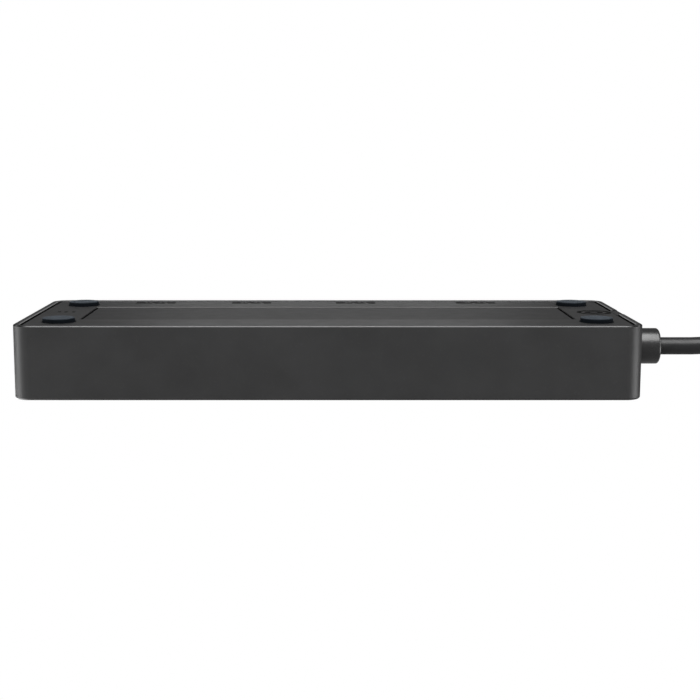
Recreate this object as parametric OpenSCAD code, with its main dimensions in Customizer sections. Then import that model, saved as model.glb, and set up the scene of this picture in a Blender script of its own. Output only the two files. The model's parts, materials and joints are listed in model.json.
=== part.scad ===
// Wide power strip with eight three-pole outlets in two rows, a rocker switch,
// a push-to-reset breaker and a moulded mains lead.
// It stands on its feet at z = 0, outlets up. The lead leaves the -X end.

/* [Housing] */
// Length of the housing
body_l = 305.4; // [290:0.2:340]
// Width of the housing
body_w = 111.5; // [108:0.5:125]
// Height of the housing, from its rim to the outlet face
body_h = 36.4; // [36:0.1:42]
// Radius of the upright corners, seen from above
corner_r = 8.3; // [7:0.1:10]
// Thickness of the housing wall at the rim
rim_wall = 3.2; // [2.8:0.1:3.6]
// Rounding along the outer edge of the rim
rim_round = 0.7; // [0.3:0.1:1]
// Chamfer along the inner edge of the rim
rim_chamfer = 0.5; // [0.2:0.1:0.8]
// Rounding along the edges of the outlet face
face_round = 1.2; // [0.6:0.1:2]
// Thickness of the outlet face
face_t = 3; // [2.5:0.1:3.4]

/* [Base] */
// Thickness of the base plate
plate_t = 2.6; // [2.4:0.1:3]
// How far the base plate lies inside the rim
plate_inset = 0.5; // [0.2:0.1:0.8]
// Gap between the base plate and the rim
plate_gap = 1.2; // [0.5:0.1:1.3]
// Length of the shallow pocket in the base plate
pocket_l = 248.8; // [200:0.2:250]
// Width of the shallow pocket in the base plate
pocket_w = 53.5; // [30:0.5:54]
// Depth of the shallow pocket in the base plate
pocket_depth = 0.5; // [0.4:0.1:0.8]
// Diameter of a foot
foot_d = 16.3; // [14:0.1:17]
// How far a foot stands out of the rim
foot_out = 1.6; // [1.5:0.1:3]
// Distance of a foot's centre from the middle, along the length
foot_x = 133; // [125:1:134]
// Distance of a foot's centre from the middle, across the width
foot_y = 35.4; // [34:0.1:39]

/* [Outlets] */
// Distance between outlets along a row
outlet_pitch = 56; // [52:1:56]
// Distance of each row from the middle
row_y = 26; // [25:0.5:27]

/* [Switch and breaker] */
// Place of the switch and the breaker along the length
control_x = -112; // [-113:1:-110]
// Place of the rocker switch across the width
switch_y = -21; // [-23:1:-20]
// Place of the breaker across the width
breaker_y = 22; // [20:1:24]

/* [Lead] */
// Diameter of the lead
cord_d = 9.1; // [8.8:0.1:9.1]
// Diameter of the gland
gland_d = 18.6; // [17.8:0.1:19]
// How far the gland stands out of the housing
gland_out = 19.6; // [19:0.1:21]

/* [Hidden] */
$fn = 64;

// Heights
rim_z = foot_out;
face_z = rim_z + body_h;
face_in_z = face_z - face_t;
plate_z = rim_z + plate_inset;
plate_in_z = plate_z + plate_t;
cord_z = rim_z + body_h / 2 - 0.4;
foot_seat = 0.6;
foot_top_z = plate_z + foot_seat;
boss_pad_t = 2;

// Case screws, one over each foot
case_screw_d = 3.3;
case_screw_l = 15;
screw_head_d = 7;
screw_head_t = 1.6;

// Plan sizes
ledge = 1.9;
cavity_l = body_l - 2 * (rim_wall + ledge);
cavity_w = body_w - 2 * (rim_wall + ledge);
plate_l = body_l - 2 * (rim_wall + plate_gap);
plate_w = body_w - 2 * (rim_wall + plate_gap);
plate_r = corner_r - rim_wall - plate_gap;
end_x = -body_l / 2;
eps = 0.01;

// Plug: distance between its blades, and from them to its ground pin
blade_pitch = 12.7;
half_pitch = blade_pitch / 2;
ground_offset = 11.86;

// Outlets: four columns, with the control panel in the place of a fifth
column_x = [for (i = [0:3]) control_x + (i + 1) * outlet_pitch];
blade_shift = -4.5;
line_slot = [7.2, 1.9];
neutral_slot = [8.8, 1.9];
ground_hole_d = 5.3;
outlet_l = 35;
outlet_w = 30;

// Contact carriers
carrier_z0 = 12;
carrier_z1 = 31.8;
channel_w = 4.4;
ground_channel_d = 7.4;
carrier_l = 212;
carrier_w = 22.8;
carrier_x0 = control_x + 28;
carrier_lid_w = 31.2;
carrier_lid_t = 1.8;
bus_z = 13;
bus_w = 3.8;
bus_tail = 3;
sheet = 0.8;
clip_l = 8;
clip_h = 14;
clip_gap = 1.6;

// Shutters, each in a frame with a spring behind it
shutter_travel = 3;
shutter_z0 = 32.1;
shutter_t = 2.6;
shutter_x = 11;
shutter_y0 = -12;
shutter_y1 = 8.4;
guide_wall = 1.4;
guide_gap = 0.4;
guide_h = 3;
spring_room = 6.8;

// Switch: a well for the rocker, a flange and a block for the contacts
rocker_tilt = 7;
rocker_w = 11.4;
well = [26.6, 12.2];
switch_wall = 1.6;
switch_size = [well[0] + 2 * switch_wall, well[1] + 2 * switch_wall];
flange_over = 1.8;
flange_t = 1.4;
pivot_z = face_z - 1.2;
pivot_r = 1.2;
well_z = 28;
switch_z = 17;

// Breaker
bush_r = 4.7;
breaker_size = [16, 24];
breaker_top = face_in_z;
breaker_z = 14;
breaker_wall = 3;
nut_r = 7.6;
nut_t = 1.6;
button_r = 3.2;
button_top = face_z + 3;
collar_r = 3.9;
collar_z = 24;

// Flat terminals under the switch and the breaker
tab_w = 6.3;
tab_t = 0.8;
tab_z = 8;

// Lead: coil_turns turns in each of two layers, the outermost of radius coil_r
cord_r = cord_d / 2;
tie_t = 1;
tie_w = 12;
coil_x = -294;
coil_y = -22;
coil_low = tie_t;
coil_h = 2 * cord_d;
coil_turns = 2.57;
coil_pitch = 9.2;
coil_r = 64;
coil_in = coil_r - coil_turns * coil_pitch - cord_r;
coil_out = coil_r + cord_r;
gland_end = end_x - gland_out;
gland_neck_d = 17.2;
gland_flange_d = 21;
gland_flange_t = 3;
neck_end = end_x + rim_wall + ledge;
jacket_end = -129;

// Clamp that holds the lead behind the gland
clamp_x = -139;
clamp_l = 6;
clamp_w = 24;
clamp_h = 8.5;
clamp_gap = 0.5;
clamp_screw_y = 8.5;
clamp_mid_x = clamp_x + clamp_l / 2;

// Plug: its relief starts at plug_x, and its blades stand out of plug_face
plug_x = -332;
plug_y = coil_y + coil_r;
plug_z = 14;
plug_relief = 24;
plug_depth = 36;
plug_face = plug_x - plug_relief - plug_depth;
blade_l = 17.5;
blade_t = 1.5;
blade_z = 8.2;
pin_d = 4.75;
pin_l = 19;
pin_tip = 1.6;

// Points on the middle line of the lead where it isn't coiled
lead_route = [
  [gland_end, 0, cord_z], [-180, 0, cord_z], [-185, 0, cord_z], [-190, 0, cord_z], [-195, 0, 19.2],
  [-201, 0, 18.5], [-209.4, 0.6, 16.7], [-217.5, 2.3, 13.8], [-225.4, 5.2, 10.4],
  [-232.8, 9.1, 7.8], [-239.6, 14, 6.2]
];
tail_route = [
  [-310, 42, 14.5], [-316, 42, 14.3], [-322, 42, 14.1], [-327, 42, 14], [plug_x, plug_y, plug_z]
];

// Points on the middle lines of the wires inside
line_route = [
  [-129, -2.2, 21.2], [-125, -3, 20], [-124, -8, 14], [-124, -14, 9.5], [-122, -20, 8.5]
];
switched_route = [
  [-112, -21, 9], [-110, -14, 8], [-109, -4, 7.5], [-110, 8, 8], [-112, 17, 9]
];
bus_feed_route = [
  [-112, 27, 9], [-106, 30, 8.5], [-98, 33, 9], [-90, 34, 12], [-86.5, 32.4, 13.4]
];
line_jumper = [
  [-86.5, 32.4, 13.4], [-92, 28, 10.5], [-95, 12, 8], [-95, -8, 8], [-92, -18, 10.5],
  [-86.5, -19.6, 13.4]
];
neutral_route = [
  [-129, 2.2, 21.2], [-124, 4, 23], [-120, 1, 24], [-112, 1, 22], [-102, 6, 17],
  [-94, 15, 14], [-86.5, 19.6, 13.4]
];
neutral_jumper = [
  [-86.5, 19.6, 13.4], [-90, 12, 15.5], [-91, -4, 17], [-91, -20, 17], [-90, -28, 15.5],
  [-86.5, -32.4, 13.4]
];
ground_route = [
  [-129, 0, 17.4], [-124, 1, 14], [-118, 4, 12.5], [-106, 8, 12.5], [-97, 18, 14.5],
  [-86.5, 26, 13.4]
];
ground_jumper = [
  [-86.5, 26, 13.4], [-88, 20, 17.8], [-88, 4, 20], [-88, -12, 20], [-88, -20, 17.8],
  [-86.5, -26, 13.4]
];
wire_d = 3;

body_grey = [0.22, 0.225, 0.23];
base_grey = [0.27, 0.275, 0.28];
rubber_grey = [0.3, 0.33, 0.36];
cord_black = [0.1, 0.1, 0.11];
inner_white = [0.85, 0.85, 0.82];
shutter_grey = [0.35, 0.36, 0.38];
brass = [0.8, 0.65, 0.3];
steel = [0.7, 0.7, 0.72];

// ---- Shapes that are used by several parts ----

// Block with round upright corners, centred in plan
module rounded_block(l, w, z0, z1, r) {
  translate([-l / 2 + r, -w / 2, z0]) cube([l - 2 * r, w, z1 - z0]);
  translate([-l / 2, -w / 2 + r, z0]) cube([l, w - 2 * r, z1 - z0]);
  for (sx = [-1, 1], sy = [-1, 1])
    translate([sx * (l / 2 - r), sy * (w / 2 - r), z0]) cylinder(r = r, h = z1 - z0);
}

// Outline of a side with a rounded lower corner f0 and upper corner f1 at x = w
module side_outline(w, z0, z1, f0, f1) {
  translate([0, z0 + f0]) square([w, z1 - z0 - f0 - f1]);
  translate([0, z0]) square([w - f0, f0 + eps]);
  translate([0, z1 - f1 - eps]) square([w - f1, f1 + eps]);
  translate([w - f0, z0 + f0]) circle(r = f0);
  translate([w - f1, z1 - f1]) circle(r = f1);
}

// Run of the outline, width w to both sides, for a length l along X
module rounded_run(l, w, z0, z1, f0, f1) {
  for (side = [0, 1])
    mirror([0, side, 0])
      translate([-l / 2, 0, 0]) rotate([90, 0, 90]) linear_extrude(l)
        side_outline(w / 2, z0, z1, f0, f1);
}

// Box with round upright corners r and rounded lower and upper edges
module soft_box(l, w, z0, z1, r, f0, f1) {
  rounded_run(l - 2 * r, w, z0, z1, f0, f1);
  rotate([0, 0, 90]) rounded_run(w - 2 * r, l, z0, z1, f0, f1);
  for (sx = [-1, 1], sy = [-1, 1])
    translate([sx * (l / 2 - r), sy * (w / 2 - r), 0])
      rotate_extrude() side_outline(r, z0, z1, f0, f1);
}

// Outline groove with round corners, cut into a face at height z
module outline_groove(l, w, z, r, line, depth) {
  difference() {
    rounded_block(l, w, z - depth, z + 1, r);
    rounded_block(l - 2 * line, w - 2 * line, z - depth - 1, z + 2, r - line);
  }
}

function unit(v) = v / norm(v);

// Direction of a route at its point i
function route_way(p, i) =
  unit(p[min(i + 1, len(p) - 1)] - p[max(i - 1, 0)]);

// Side vector of a route at its point i, square to the route
function route_side(p, i) =
  let (t = route_way(p, i), up = abs(t[2]) > 0.8 ? [1, 0, 0] : [0, 0, 1])
  unit(cross(t, up));

// Round tube swept along a route, one ring of n corners at each of its points
module tube(p, d, n) {
  last = len(p) - 1;
  rings = [
    for (i = [0:last]) let (s = route_side(p, i), u = cross(s, route_way(p, i)))
      for (k = [0:n - 1]) p[i] + d / 2 * (cos(360 * k / n) * s + sin(360 * k / n) * u)
  ];
  skin = [
    for (i = [0:last - 1], k = [0:n - 1])
      let (a = i * n + k, b = i * n + (k + 1) % n) [a, b, b + n, a + n]
  ];
  caps = [[for (k = [0:n - 1]) n - 1 - k], [for (k = [0:n - 1]) last * n + k]];
  polyhedron(points = rings, faces = concat(skin, caps));
}

// Coil spring along +Z from z = 0
module coil_spring(d, wire, length, turns) {
  steps = 8 * turns;
  r = (d - wire) / 2;
  points = [
    for (i = [0:steps])
      [r * cos(45 * i), r * sin(45 * i), wire / 2 + (length - wire) * i / steps]
  ];
  tube(points, wire, 5);
}

// Outlet n from 0 to 7: the front row first
function outlet_at(n) = [column_x[n % 4] + blade_shift, (n < 4 ? -1 : 1) * row_y, 0];

// ---- Case ----

module outlet_cuts() {
  z = face_in_z - 1;
  h = face_t + 2;
  translate([-line_slot[0] / 2, half_pitch - line_slot[1] / 2, z])
    cube([line_slot[0], line_slot[1], h]);
  translate([-neutral_slot[0] / 2, -half_pitch - neutral_slot[1] / 2, z])
    cube([neutral_slot[0], neutral_slot[1], h]);
  translate([ground_offset, 0, z]) cylinder(d = ground_hole_d, h = h);
  translate([-blade_shift, 0, 0]) outline_groove(outlet_l, outlet_w, face_z, 6, 0.8, 0.5);
}

module gland_slot() {
  slot_w = 17.6;
  slot_l = rim_wall + ledge + 2;
  translate([end_x - 1, -slot_w / 2, rim_z - 1])
    cube([slot_l, slot_w, cord_z - rim_z + 1]);
  translate([end_x - 1, 0, cord_z]) rotate([0, 90, 0]) cylinder(d = slot_w, h = slot_l);
}

// Channel for the lead and holes for two screws, cut out of the clamp and its saddle
module clamp_cuts() {
  screw_hole_d = 3;
  screw_hole_z = cord_z - 10;
  translate([clamp_x - 1, 0, cord_z]) rotate([0, 90, 0]) cylinder(d = cord_d, h = clamp_l + 2);
  for (sy = [-1, 1])
    translate([clamp_mid_x, sy * clamp_screw_y, screw_hole_z]) cylinder(d = screw_hole_d, h = 21);
}

// Opening for the base plate, chamfered where it meets the rim
module plate_opening() {
  l = body_l - 2 * rim_wall;
  w = body_w - 2 * rim_wall;
  r = corner_r - rim_wall;
  rounded_block(l, w, rim_z - 1, plate_in_z, r);
  chamfer_run(l - 2 * r, w);
  rotate([0, 0, 90]) chamfer_run(w - 2 * r, l);
  for (sx = [-1, 1], sy = [-1, 1])
    translate([sx * (l / 2 - r), sy * (w / 2 - r), rim_z])
      cylinder(r1 = r + rim_chamfer, r2 = r, h = rim_chamfer);
}

// Straight run of the chamfer, at both sides of a width w, for a length l along X
module chamfer_run(l, w) {
  wide = w / 2 + rim_chamfer;
  translate([-l / 2, 0, rim_z]) rotate([90, 0, 90]) linear_extrude(l)
    polygon([[-wide, 0], [wide, 0], [w / 2, rim_chamfer], [-w / 2, rim_chamfer]]);
}

module clamp_saddle() {
  difference() {
    translate([clamp_x, -clamp_w / 2, cord_z])
      cube([clamp_l, clamp_w, face_in_z - cord_z + eps]);
    clamp_cuts();
  }
}

// Upright bosses that the case screws go into, one over each foot
module case_bosses() {
  boss_d = 9;
  boss_z = plate_in_z + boss_pad_t;
  for (sx = [-1, 1], sy = [-1, 1])
    translate([sx * foot_x, sy * foot_y, boss_z])
      difference() {
        cylinder(d = boss_d, h = face_in_z - boss_z + eps);
        translate([0, 0, -1]) cylinder(d = case_screw_d + 0.1, h = 14);
      }
}

module housing() {
  color(body_grey) {
    difference() {
      soft_box(body_l, body_w, rim_z, face_z, corner_r, rim_round, face_round);
      rounded_block(cavity_l, cavity_w, rim_z - 1, face_in_z, corner_r - rim_wall - ledge);
      plate_opening();
      for (n = [0:7]) translate(outlet_at(n)) outlet_cuts();
      gland_slot();
      translate([control_x, switch_y, 0])
        rounded_block(switch_size[0] + 0.4, switch_size[1] + 0.4, face_in_z - 1, face_z + 1, 1);
      translate([control_x, breaker_y, face_in_z - 1])
        cylinder(r = bush_r + 0.2, h = face_t + 2);
    }
    clamp_saddle();
    case_bosses();
  }
}

module gland_tongue() {
  tongue_w = 17.2;
  difference() {
    translate([end_x, -tongue_w / 2, plate_z])
      cube([rim_wall + ledge, tongue_w, cord_z - plate_z - 5]);
    translate([end_x - 1, 0, cord_z]) rotate([0, 90, 0])
      cylinder(d = gland_neck_d + 0.2, h = 10);
  }
}

// Shallow pocket with a bent groove along each end and long sides that slope at 45 degrees
module pocket_cut() {
  half_w = pocket_w / 2;
  floor_z = plate_z + pocket_depth;
  groove_w = 1;
  groove_l = pocket_w - 2 * pocket_depth;
  bend_l = 4.5;
  cut_h = 1 + 2 * pocket_depth;
  for (side = [0, 1]) mirror([side, 0, 0]) translate([-pocket_l / 2, 0, plate_z - 1]) {
    translate([0, -groove_l / 2, 0]) cube([groove_w, groove_l, cut_h]);
    translate([0, groove_l / 2 - groove_w, 0]) cube([bend_l, groove_w, cut_h]);
  }
  translate([-pocket_l / 2, 0, 0]) rotate([90, 0, 90]) linear_extrude(pocket_l)
    polygon([
      [-half_w - 1, plate_z - 1], [half_w + 1, plate_z - 1],
      [half_w - pocket_depth, floor_z], [-half_w + pocket_depth, floor_z]
    ]);
}

// Seat for a foot, with the sunk hole for the case screw under it
module foot_seat_cut() {
  translate([0, 0, plate_z - 1]) cylinder(d = foot_d + 0.8, h = 1 + foot_seat);
  translate([0, 0, plate_z]) cylinder(d = screw_head_d + 0.4, h = foot_seat + screw_head_t);
  translate([0, 0, plate_z]) cylinder(d = case_screw_d + 0.5, h = 8);
}

module base_plate() {
  boss_pad_d = 12;
  color(base_grey) difference() {
    union() {
      rounded_block(plate_l, plate_w, plate_z, plate_in_z, plate_r);
      gland_tongue();
      for (sx = [-1, 1], sy = [-1, 1])
        translate([sx * foot_x, sy * foot_y, plate_in_z - eps])
          cylinder(d = boss_pad_d, h = boss_pad_t + eps);
    }
    pocket_cut();
    for (sx = [-1, 1], sy = [-1, 1]) translate([sx * foot_x, sy * foot_y, 0]) foot_seat_cut();
  }
}

// Rubber foot with a rounded lower edge
module foot(n) {
  sx = n % 2 == 1 ? -1 : 1;
  sy = n < 3 ? -1 : 1;
  color(rubber_grey) translate([sx * foot_x, sy * foot_y, 0])
    rotate_extrude() side_outline(foot_d / 2, 0, foot_top_z, 0.5, 0.1);
}

module case_screws() {
  color(steel) for (sx = [-1, 1], sy = [-1, 1])
    translate([sx * foot_x, sy * foot_y, foot_top_z]) difference() {
      union() {
        cylinder(d = screw_head_d, h = screw_head_t);
        cylinder(d = case_screw_d, h = case_screw_l);
      }
      translate([0, 0, -eps]) for (a = [0, 90])
        rotate([0, 0, a]) translate([-2, -0.4, 0]) cube([4, 0.8, 1]);
    }
}

// ---- Contacts ----

module guide_frame() {
  inner = [shutter_x + 2 * guide_gap, shutter_y1 - shutter_y0 + guide_gap + spring_room];
  difference() {
    translate([-inner[0] / 2 - guide_wall, shutter_y0 - guide_gap - guide_wall, carrier_z1 - eps])
      cube([inner[0] + 2 * guide_wall, inner[1] + 2 * guide_wall, guide_h + eps]);
    translate([-inner[0] / 2, shutter_y0 - guide_gap, carrier_z1 - 1])
      cube([inner[0], inner[1], 5]);
  }
}

module carrier(row) {
  color(inner_white) translate([0, row * row_y, 0]) {
    difference() {
      union() {
        translate([carrier_x0, -carrier_w / 2, carrier_z0])
          cube([carrier_l, carrier_w, carrier_z1 - carrier_z0]);
        translate([carrier_x0, shutter_y0 - 2, carrier_z1 - carrier_lid_t])
          cube([carrier_l, carrier_lid_w, carrier_lid_t]);
      }
      for (y = [-half_pitch, 0, half_pitch])
        translate([carrier_x0 - 1, y - channel_w / 2, bus_z])
          cube([carrier_l - 1, channel_w, 30]);
      for (x = column_x)
        translate([x + blade_shift + ground_offset, 0, bus_z])
          cylinder(d = ground_channel_d, h = 30);
    }
    for (x = column_x) translate([x + blade_shift, 0, 0]) guide_frame();
  }
}

// Strip along the bottom of a channel, with a tail for the feed wire
module bus_strip() {
  translate([carrier_x0 - bus_tail, -bus_w / 2, bus_z]) cube([carrier_l - bus_tail, bus_w, sheet]);
}

// Two spring leaves that grip a blade
module blade_clip() {
  leaf_t = 0.6;
  for (side = [-1, 1])
    translate([-clip_l / 2, (side * (clip_gap + leaf_t) - leaf_t) / 2, bus_z])
      cube([clip_l, leaf_t, clip_h]);
}

module blade_bus(row, y) {
  color(brass) translate([0, row * row_y + y, 0]) {
    bus_strip();
    for (x = column_x) translate([x + blade_shift, 0, 0]) blade_clip();
  }
}

module ground_bus(row) {
  color(brass) translate([0, row * row_y, 0]) {
    bus_strip();
    for (x = column_x)
      translate([x + blade_shift + ground_offset, 0, bus_z]) difference() {
        cylinder(r = 3.1, h = 15);
        translate([0, 0, sheet]) cylinder(r = 2.5, h = 15);
        translate([-4, -0.5, 4]) cube([8, 1, 12]);
      }
  }
}

// Sliding shutter with a window beside each blade slot
module shutter(n) {
  window = [9.6, 2.6];
  color(shutter_grey) translate(outlet_at(n)) difference() {
    translate([-shutter_x / 2, shutter_y0, shutter_z0])
      cube([shutter_x, shutter_y1 - shutter_y0, shutter_t]);
    for (side = [-1, 1])
      translate([-window[0] / 2, side * half_pitch - shutter_travel - window[1] / 2,
                 shutter_z0 - 1])
        cube([window[0], window[1], shutter_t + 2]);
  }
}

module shutter_spring(n) {
  color(steel) translate(outlet_at(n))
    translate([0, shutter_y1, shutter_z0 + shutter_t / 2]) rotate([-90, 0, 0])
      coil_spring(2.4, 0.4, spring_room, 6);
}

// ---- Switch ----

module switch_body() {
  color(body_grey) translate([control_x, switch_y, 0]) difference() {
    union() {
      rounded_block(switch_size[0] + 2 * flange_over, switch_size[1] + 2 * flange_over,
                    face_z, face_z + flange_t, 2);
      rounded_block(switch_size[0], switch_size[1], switch_z, face_z + eps, 1);
    }
    rounded_block(well[0], well[1], well_z, face_z + 5, 1);
    translate([0, 10, pivot_z]) rotate([90, 0, 0]) cylinder(r = pivot_r + 0.05, h = 20);
  }
}

// Rocker at its off position, on two stub pins
module switch_rocker() {
  pin_span = 15.2;
  outline = [
    [-12.6, 3.2], [0, 1.7], [12.6, 3.2], [12.6, 0], [8, -5.5], [3, -7], [-3, -7], [-8, -5.5],
    [-12.6, 0]
  ];
  color([0.75, 0.1, 0.08]) translate([control_x, switch_y, pivot_z]) rotate([0, -rocker_tilt, 0]) {
    translate([0, rocker_w / 2, 0]) rotate([90, 0, 0]) linear_extrude(rocker_w) polygon(outline);
    translate([0, pin_span / 2, 0]) rotate([90, 0, 0]) cylinder(r = pivot_r, h = pin_span);
  }
}

module switch_terminals() {
  color(brass) for (x = [-10, 0, 10])
    translate([control_x + x - tab_t / 2, switch_y - tab_w / 2, tab_z])
      cube([tab_t, tab_w, switch_z - tab_z]);
}

// ---- Breaker ----

module breaker_body() {
  color([0.12, 0.12, 0.13]) translate([control_x, breaker_y, 0]) difference() {
    union() {
      translate([-breaker_size[0] / 2, -breaker_size[1] / 2, breaker_z])
        cube([breaker_size[0], breaker_size[1], breaker_top - breaker_z]);
      translate([0, 0, breaker_top - 1]) cylinder(r = bush_r, h = face_z + 1.8 - breaker_top + 1);
    }
    translate([0, 0, breaker_top - 4]) cylinder(r = button_r + 0.1, h = 20);
    translate([0, 0, breaker_z + breaker_wall])
      cylinder(r = collar_r + 0.3, h = breaker_top - breaker_z - 2 * breaker_wall);
  }
}

module breaker_nut() {
  color(steel) translate([control_x, breaker_y, face_z]) difference() {
    cylinder(r = nut_r, h = nut_t);
    translate([0, 0, -1]) cylinder(r = bush_r, h = nut_t + 2);
  }
}

module breaker_terminals() {
  color(brass) for (y = [-5, 5])
    translate([control_x - tab_w / 2, breaker_y + y - tab_t / 2, tab_z])
      cube([tab_w, tab_t, breaker_z - tab_z]);
}

// Push button with a collar inside the breaker, at its pressed-in position
module reset_button() {
  collar_h = 2.2;
  chamfer = 0.6;
  color([0.9, 0.9, 0.88]) translate([control_x, breaker_y, 0]) {
    translate([0, 0, collar_z]) cylinder(r = collar_r, h = collar_h);
    translate([0, 0, collar_z + 1]) cylinder(r = button_r, h = button_top - chamfer - collar_z - 1);
    translate([0, 0, button_top - chamfer - eps])
      cylinder(r1 = button_r, r2 = button_r - chamfer, h = chamfer + eps);
  }
}

module reset_spring() {
  spring_z = breaker_z + breaker_wall;
  color(steel) translate([control_x, breaker_y, spring_z])
    coil_spring(6.6, 0.7, collar_z - spring_z, 5);
}

// ---- Wires ----

module line_wires() {
  color([0.1, 0.1, 0.1]) {
    tube(line_route, wire_d, 8);
    tube(switched_route, wire_d, 8);
    tube(bus_feed_route, wire_d, 8);
    tube(line_jumper, wire_d, 8);
  }
}

module neutral_wires() {
  color([0.9, 0.9, 0.88]) {
    tube(neutral_route, wire_d, 8);
    tube(neutral_jumper, wire_d, 8);
  }
}

module ground_wires() {
  color([0.1, 0.45, 0.2]) {
    tube(ground_route, wire_d, 8);
    tube(ground_jumper, wire_d, 8);
  }
}

// ---- Lead ----

// Moulded gland: round outside, a neck in the end wall and a flange behind it
module gland() {
  color(cord_black) translate([0, 0, cord_z]) rotate([0, 90, 0]) {
    translate([0, 0, gland_end]) rotate_extrude()
      side_outline(gland_d / 2, 0, gland_out, 0.9, 0.1);
    translate([0, 0, end_x - eps]) cylinder(d = gland_neck_d, h = neck_end - end_x + eps);
    translate([0, 0, neck_end - eps]) cylinder(d = gland_flange_d, h = gland_flange_t);
  }
}

module cord_inside() {
  start = neck_end + gland_flange_t - eps;
  color(cord_black) translate([start, 0, cord_z]) rotate([0, 90, 0])
    cylinder(d = cord_d, h = jacket_end - start);
}

module cord_clamp() {
  color(inner_white) difference() {
    translate([clamp_x, -clamp_w / 2, cord_z - clamp_h])
      cube([clamp_l, clamp_w, clamp_h - clamp_gap]);
    clamp_cuts();
  }
}

module clamp_screws() {
  head_t = 1.8;
  color(steel) for (sy = [-1, 1])
    translate([clamp_mid_x, sy * clamp_screw_y, cord_z - clamp_h]) {
      cylinder(d = 2.9, h = 2 * clamp_h);
      translate([0, 0, -head_t]) cylinder(d = 5.4, h = head_t);
    }
}

module cord_lead() {
  color(cord_black) tube(lead_route, cord_d, 12);
}

module cord_tail() {
  color(cord_black) tube(tail_route, cord_d, 12);
}

// Outer shape of the stored coil
module cord_coil() {
  r = 3;
  w = coil_out - coil_in;
  color(cord_black) translate([coil_x, coil_y, coil_low]) rotate_extrude() {
    translate([coil_in + r, 0]) square([w - 2 * r, coil_h]);
    translate([coil_in, r]) square([w, coil_h - 2 * r]);
    for (x = [coil_in + r, coil_out - r], y = [r, coil_h - r]) translate([x, y]) circle(r = r);
  }
}

// Strap round the coil
module cord_tie() {
  span = coil_out - coil_in;
  color(body_grey)
    translate([coil_x, coil_y - (coil_in + coil_out) / 2, 0]) rotate([90, 0, 90])
      translate([0, 0, -tie_w / 2]) linear_extrude(tie_w) difference() {
        translate([-span / 2 - tie_t, 0]) square([span + 2 * tie_t, coil_h + 2 * tie_t]);
        translate([-span / 2, tie_t]) square([span, coil_h]);
      }
}

// Moulded plug, with a tapered relief towards the lead
module plug_body() {
  w = 27;
  r = 5;
  h = 2 * plug_z;
  color(cord_black) {
    translate([plug_x, plug_y, plug_z]) rotate([0, -90, 0])
      cylinder(r1 = 6, r2 = 7.6, h = plug_relief + eps);
    translate([plug_face, plug_y, 0]) rotate([90, 0, 90]) linear_extrude(plug_depth) {
      translate([-w / 2, r]) square([w, h - 2 * r]);
      translate([-w / 2 + r, 0]) square([w - 2 * r, h]);
      for (x = [-w / 2 + r, w / 2 - r], y = [r, h - r]) translate([x, y]) circle(r = r);
    }
  }
}

module plug_blade(side, w) {
  color(brass)
    translate([plug_face - blade_l, plug_y + side * half_pitch - blade_t / 2, blade_z - w / 2])
      cube([blade_l, blade_t, w]);
}

module plug_ground_pin() {
  color(brass) translate([plug_face, plug_y, blade_z + ground_offset]) rotate([0, -90, 0]) {
    cylinder(d = pin_d, h = pin_l);
    translate([0, 0, pin_l]) cylinder(r1 = pin_d / 2, r2 = pin_d / 4, h = pin_tip);
  }
}

housing();
base_plate();
foot(1);  // foot_1
foot(2);  // foot_2
foot(3);  // foot_3
foot(4);  // foot_4
case_screws();
carrier(-1);  // carrier_front
carrier(1);  // carrier_back
blade_bus(-1, half_pitch);  // line_bus_front
blade_bus(1, half_pitch);  // line_bus_back
blade_bus(-1, -half_pitch);  // neutral_bus_front
blade_bus(1, -half_pitch);  // neutral_bus_back
ground_bus(-1);  // ground_bus_front
ground_bus(1);  // ground_bus_back
for (n = [0:7]) shutter(n);
for (n = [0:7]) shutter_spring(n);
switch_body();
switch_rocker();
switch_terminals();
breaker_body();
breaker_nut();
breaker_terminals();
reset_button();
reset_spring();
line_wires();
neutral_wires();
ground_wires();
gland();
cord_inside();
cord_clamp();
clamp_screws();
cord_lead();
cord_coil();
cord_tail();
cord_tie();
plug_body();
plug_blade(1, 6.35);  // plug_line_blade
plug_blade(-1, 7.9);  // plug_neutral_blade
plug_ground_pin();
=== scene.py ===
"""Looks of the power strip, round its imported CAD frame. Lengths are metres unless named _mm."""

import json
import math

import bmesh
import bpy
from mathutils import Matrix, Vector


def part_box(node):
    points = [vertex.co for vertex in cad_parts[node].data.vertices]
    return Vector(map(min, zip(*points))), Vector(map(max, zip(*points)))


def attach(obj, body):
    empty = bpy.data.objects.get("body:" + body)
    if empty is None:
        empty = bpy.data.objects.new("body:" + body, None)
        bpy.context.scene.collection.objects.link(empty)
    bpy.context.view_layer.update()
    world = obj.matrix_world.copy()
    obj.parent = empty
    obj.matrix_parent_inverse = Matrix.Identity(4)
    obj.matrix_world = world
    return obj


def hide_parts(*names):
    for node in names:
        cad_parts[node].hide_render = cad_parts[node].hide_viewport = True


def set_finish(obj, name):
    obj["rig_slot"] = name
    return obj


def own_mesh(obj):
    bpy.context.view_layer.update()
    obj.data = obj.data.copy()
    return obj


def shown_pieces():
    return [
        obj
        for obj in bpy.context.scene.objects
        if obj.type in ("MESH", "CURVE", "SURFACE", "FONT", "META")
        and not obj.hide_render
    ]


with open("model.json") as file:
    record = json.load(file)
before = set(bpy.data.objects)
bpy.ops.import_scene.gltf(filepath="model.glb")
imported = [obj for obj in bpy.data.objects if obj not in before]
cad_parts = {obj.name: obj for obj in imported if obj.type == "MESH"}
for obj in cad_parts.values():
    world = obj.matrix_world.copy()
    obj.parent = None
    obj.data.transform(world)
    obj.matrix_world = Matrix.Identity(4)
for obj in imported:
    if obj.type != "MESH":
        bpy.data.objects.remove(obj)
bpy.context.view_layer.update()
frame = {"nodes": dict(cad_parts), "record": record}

MM = 0.001
scene = bpy.context.scene
nodes = frame["nodes"]


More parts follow.
